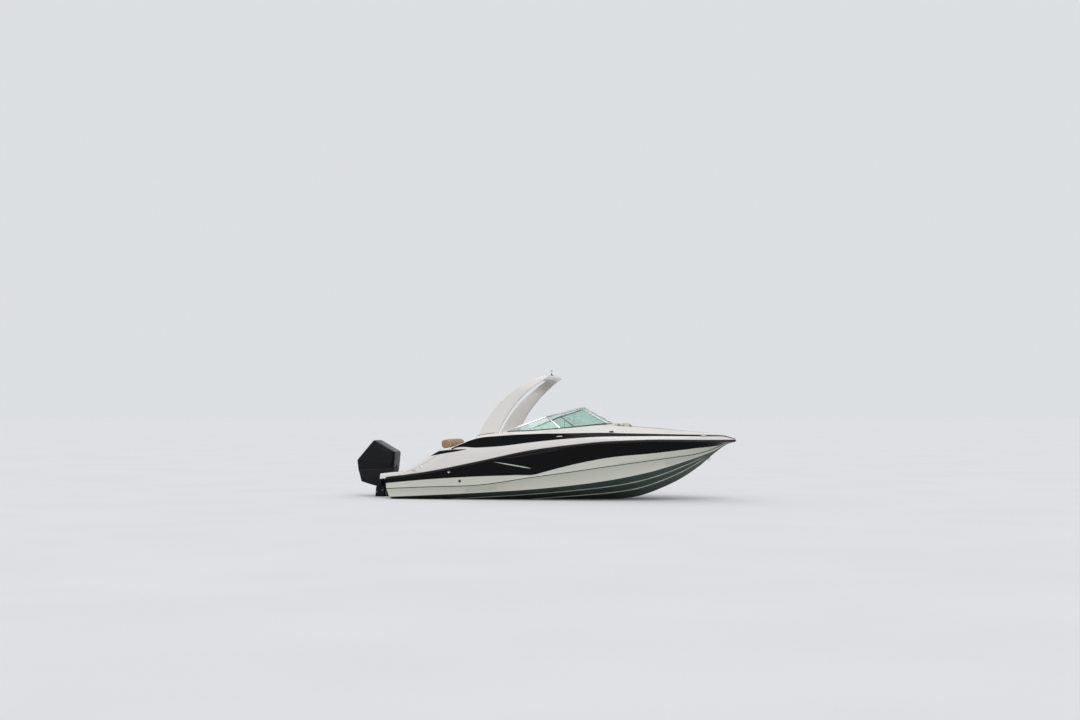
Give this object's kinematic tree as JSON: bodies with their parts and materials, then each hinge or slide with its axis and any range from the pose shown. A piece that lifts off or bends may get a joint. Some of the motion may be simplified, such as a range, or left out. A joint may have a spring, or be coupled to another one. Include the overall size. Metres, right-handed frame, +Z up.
{
  "type": "outboard bowrider speedboat with arch",
  "caption": "Open planing speedboat with bow seating, raked windshield, swept arch, cockpit seats and a tilting, steering outboard motor.",
  "frame": {"origin": "on the centreline at the static waterline, about amidships", "axes": "+X to the bow, +Y to port, +Z up"},
  "size_m": [8.8116, 2.64, 3.4308],
  "materials": {
    "gelcoat_white": "gloss gelcoat",
    "gelcoat_hull": "gloss gelcoat with a dark band painted along the side",
    "liner_white": "gelcoat with a non-slip pattern on the soles",
    "rubber_black": "matt black",
    "alloy_frame": "polished",
    "tinted_glass": "green tinted",
    "vinyl_cream": "stitched vinyl",
    "vinyl_tan": "stitched vinyl with pale piping",
    "motor_black": "gloss black",
    "motor_grey": "satin black",
    "steel_bright": "polished stainless",
    "dash_dark": "fine grain",
    "cast_block": "plain",
    "lens_clear": "frosted lens"
  },
  "bodies": {
    "boat": {"hull": "gelcoat_hull", "deck": "gelcoat_white", "arch": "gelcoat_white", "cockpit_liner": "liner_white", "bow_liner": "liner_white", "rub_rail": "rubber_black", "windshield_frame": "alloy_frame", "side_glass_port": "tinted_glass", "side_glass_starboard": "tinted_glass", "front_glass_port": "tinted_glass", "front_glass_starboard": "tinted_glass", "helm_console": "dash_dark", "passenger_console": "dash_dark", "instrument_panel": "dash_dark", "throttle_control": "steel_bright", "helm_seat_pedestal": "alloy_frame", "passenger_seat_pedestal": "alloy_frame", "aft_bench": "liner_white", "aft_bench_cushion": "vinyl_cream", "aft_backrest": "vinyl_cream", "stern_bolster": "vinyl_tan", "bow_cushion_port": "vinyl_cream", "bow_cushion_starboard": "vinyl_cream", "bow_cushion_front": "vinyl_cream", "bow_backrest_port": "vinyl_cream", "bow_backrest_starboard": "vinyl_cream", "cleats": "steel_bright", "bow_eye": "steel_bright", "anchor_light": "lens_clear", "clamp_bracket": "motor_grey"},
    "windshield_gate": {"gate_frame": "alloy_frame", "gate_glass": "tinted_glass"},
    "bow_door": {"bow_door": "liner_white"},
    "stern_gate": {"stern_gate": "liner_white"},
    "anchor_lid": {"anchor_locker_lid": "gelcoat_white"},
    "sole_lid": {"sole_locker_lid": "liner_white"},
    "wheel": {"steering_wheel": "dash_dark"},
    "helm_seat": {"helm_seat_shell": "liner_white", "helm_seat_cushion": "vinyl_cream"},
    "passenger_seat": {"passenger_seat_shell": "liner_white", "passenger_seat_cushion": "vinyl_cream"},
    "swivel": {"swivel_bracket": "motor_grey"},
    "motor": {"drive_leg": "motor_black", "lower_cowl": "motor_grey", "upper_cowl": "motor_black", "engine_block": "cast_block", "gearcase": "motor_black"},
    "propeller": {"propeller": "steel_bright"}
  },
  "joints": [
    {"name": "windshield_gate_hinge", "type": "hinge", "parent": "boat", "child": "windshield_gate", "pos_m": [1.30903, 0.327, 1.43636], "axis": [-0.8579, -0.0384, 0.5124], "range_deg": [0, 140]},
    {"name": "bow_door_hinge", "type": "hinge", "parent": "boat", "child": "bow_door", "pos_m": [1.468, 0.287, 0.5], "axis": [0, 0, 1], "range_deg": [0, 90]},
    {"name": "stern_gate_hinge", "type": "hinge", "parent": "boat", "child": "stern_gate", "pos_m": [-2.42, 0.877, 0.53], "axis": [0, 0, -1], "range_deg": [0, 90]},
    {"name": "anchor_lid_hinge", "type": "hinge", "parent": "boat", "child": "anchor_lid", "pos_m": [3.393, 0, 1.14206], "axis": [0, -1, 0], "range_deg": [0, 80]},
    {"name": "sole_lid_hinge", "type": "hinge", "parent": "boat", "child": "sole_lid", "pos_m": [-1.2, 0.167, 0.33], "axis": [-1, 0, 0], "range_deg": [0, 95]},
    {"name": "outboard_tilt", "type": "hinge", "parent": "boat", "child": "swivel", "pos_m": [-3.74, 0, 0.285], "axis": [0, 1, 0], "range_deg": [-14, 55]},
    {"name": "outboard_steer", "type": "hinge", "parent": "swivel", "child": "motor", "pos_m": [-3.96651, 0, 0.32494], "axis": [0.1736, 0, 0.9848], "range_deg": [-30, 30]},
    {"name": "propeller_spin", "type": "hinge", "parent": "motor", "child": "propeller", "pos_m": [-4.40491, 0, -0.49133], "axis": [-0.9848, 0, 0.1736], "continuous": true},
    {"name": "steering_wheel_turn", "type": "hinge", "parent": "boat", "child": "wheel", "pos_m": [0.26237, -0.48, 1.08835], "axis": [-0.8192, 0, 0.5736], "range_deg": [-540, 540]},
    {"name": "helm_seat_swivel", "type": "hinge", "parent": "boat", "child": "helm_seat", "pos_m": [-0.42, -0.48, 0.72], "axis": [0, 0, 1], "range_deg": [-180, 180]},
    {"name": "passenger_seat_swivel", "type": "hinge", "parent": "boat", "child": "passenger_seat", "pos_m": [-0.42, 0.48, 0.72], "axis": [0, 0, 1], "range_deg": [-180, 180]}
  ],
  "couplings": [
    {"joint": "steering_wheel_turn", "follows": "outboard_steer", "ratio": -18}
  ]
}
